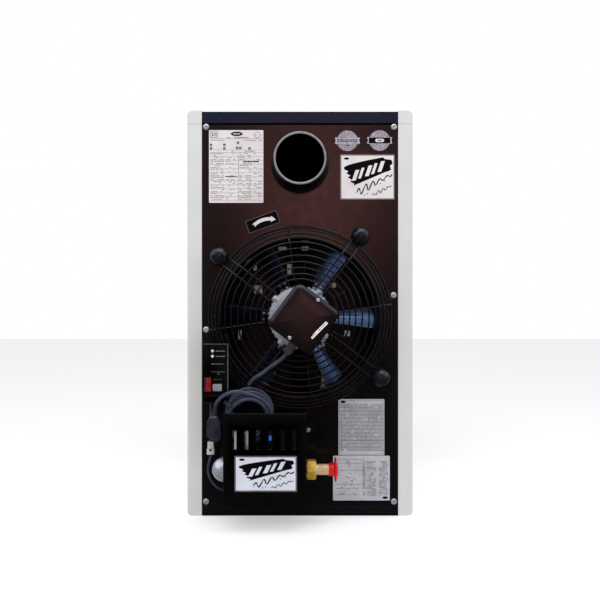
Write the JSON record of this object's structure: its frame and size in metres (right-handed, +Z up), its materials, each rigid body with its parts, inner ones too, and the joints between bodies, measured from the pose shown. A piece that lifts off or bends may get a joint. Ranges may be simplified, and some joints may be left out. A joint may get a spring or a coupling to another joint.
{
  "type": "gas-fired fan heater",
  "caption": "Upright gas-fired warm-air heater cabinet: rear axial fan with wire guard, round flue spigot, shielded gas control with threaded inlet, front louvres.",
  "frame": {"origin": "on the floor, under the centre of the box round the heater without its mains coil and plug", "axes": "+Z up, +Y towards the louvred front where the warm air leaves, -Y towards the service side with the fan, +X to the right of someone facing the service side"},
  "size_m": [0.44, 0.515, 0.79],
  "materials": {
    "side_shell": "warm light grey, fine satin texture",
    "top_sheet": "dark navy gloss powder coat",
    "panel_black": "gloss black powder coat",
    "louvre_black": "satin black powder coat",
    "guard_wire": "black epoxy-coated wire",
    "rubber": "black moulded rubber",
    "box_plastic": "dark brown-black gloss moulding",
    "gland_plastic": "dark grey nylon",
    "fan_blade": "blue-grey satin pressed metal",
    "cast_metal": "die-cast, light satin",
    "plated_steel": "bright zinc plate",
    "exchanger_steel": "aluminised steel",
    "brass": "machined brass",
    "red_cap": "red moulded polyethylene",
    "red_rocker": "translucent red switch rocker",
    "white_plastic": "white nylon",
    "lens": "clear white indicator lens",
    "ceramic": "white igniter ceramic",
    "flue_black": "black enamel with a bare light rim",
    "cord_pvc": "dark grey PVC sheath"
  },
  "bodies": {
    "cabinet": {"side_panel_left": "side_shell", "side_panel_right": "side_shell", "side_cap_left": "side_shell", "side_cap_right": "side_shell", "top_panel": "top_sheet", "base_pan": "panel_black", "back_panel": "panel_black", "front_panel": "panel_black", "valve_cover": "panel_black", "control_box": "panel_black", "control_fascia": "panel_black", "fan_shroud": "panel_black", "fan_guard": "guard_wire", "guard_mount_1": "rubber", "guard_mount_2": "rubber", "guard_mount_3": "rubber", "guard_mount_4": "rubber", "terminal_box": "box_plastic", "terminal_lid": "box_plastic", "ignition_module": "box_plastic", "motor_gland": "gland_plastic", "mains_gland": "gland_plastic", "motor_stator": "cast_metal", "gas_valve": "cast_metal", "outlet_elbow": "plated_steel", "gas_manifold": "plated_steel", "panel_screw_upper_left": "plated_steel", "panel_screw_upper_right": "plated_steel", "panel_screw_middle_left": "plated_steel", "panel_screw_middle_right": "plated_steel", "panel_screw_lower_left": "plated_steel", "panel_screw_lower_right": "plated_steel", "flue_collector": "exchanger_steel", "combustion_chamber": "exchanger_steel", "exchanger_tube_left": "exchanger_steel", "exchanger_tube_right": "exchanger_steel", "burner": "exchanger_steel", "union_nut": "brass", "inlet_nipple": "brass", "lead_connector": "white_plastic", "indicator_lens_upper": "lens", "indicator_lens_lower": "lens", "igniter": "ceramic", "flue_spigot": "flue_black", "motor_cable": "cord_pvc", "mains_lead_start": "cord_pvc", "mains_coil": "cord_pvc", "mains_lead_end": "cord_pvc", "mains_plug": "cord_pvc", "valve_lead": "cord_pvc"},
    "fan_rotor": {"impeller": "fan_blade", "rotor_can": "cast_metal"},
    "gas_cap": {"inlet_cap": "red_cap"},
    "rocker": {"power_rocker": "red_rocker"},
    "reset": {"reset_button": "white_plastic"},
    "louvre_blade_1": {"louvre_1": "louvre_black"},
    "louvre_blade_2": {"louvre_2": "louvre_black"},
    "louvre_blade_3": {"louvre_3": "louvre_black"},
    "louvre_blade_4": {"louvre_4": "louvre_black"},
    "louvre_blade_5": {"louvre_5": "louvre_black"}
  },
  "joints": [
    {"name": "fan_spin", "type": "hinge", "parent": "cabinet", "child": "fan_rotor", "pos_m": [0, -0.13, 0.388], "axis": [0, -1, 0], "continuous": true},
    {"name": "louvre_tilt_1", "type": "hinge", "parent": "cabinet", "child": "louvre_blade_1", "pos_m": [0, 0.2295, 0.412], "axis": [1, 0, 0], "range_deg": [-45, 45]},
    {"name": "louvre_tilt_2", "type": "hinge", "parent": "cabinet", "child": "louvre_blade_2", "pos_m": [0, 0.2295, 0.476], "axis": [1, 0, 0], "range_deg": [-45, 45]},
    {"name": "louvre_tilt_3", "type": "hinge", "parent": "cabinet", "child": "louvre_blade_3", "pos_m": [0, 0.2295, 0.54], "axis": [1, 0, 0], "range_deg": [-45, 45]},
    {"name": "louvre_tilt_4", "type": "hinge", "parent": "cabinet", "child": "louvre_blade_4", "pos_m": [0, 0.2295, 0.604], "axis": [1, 0, 0], "range_deg": [-45, 45]},
    {"name": "louvre_tilt_5", "type": "hinge", "parent": "cabinet", "child": "louvre_blade_5", "pos_m": [0, 0.2295, 0.668], "axis": [1, 0, 0], "range_deg": [-45, 45]},
    {"name": "gas_cap_pull", "type": "slide", "parent": "cabinet", "child": "gas_cap", "axis": [1, 0, 0], "range_m": [0, 0.025]},
    {"name": "power_rock", "type": "hinge", "parent": "cabinet", "child": "rocker", "pos_m": [-0.171, -0.21015, 0.2645], "axis": [1, 0, 0], "range_deg": [0, 13]},
    {"name": "reset_press", "type": "slide", "parent": "cabinet", "child": "reset", "axis": [0, 1, 0], "range_m": [0, 0.0025], "stiffness_N_per_m": 400}
  ]
}
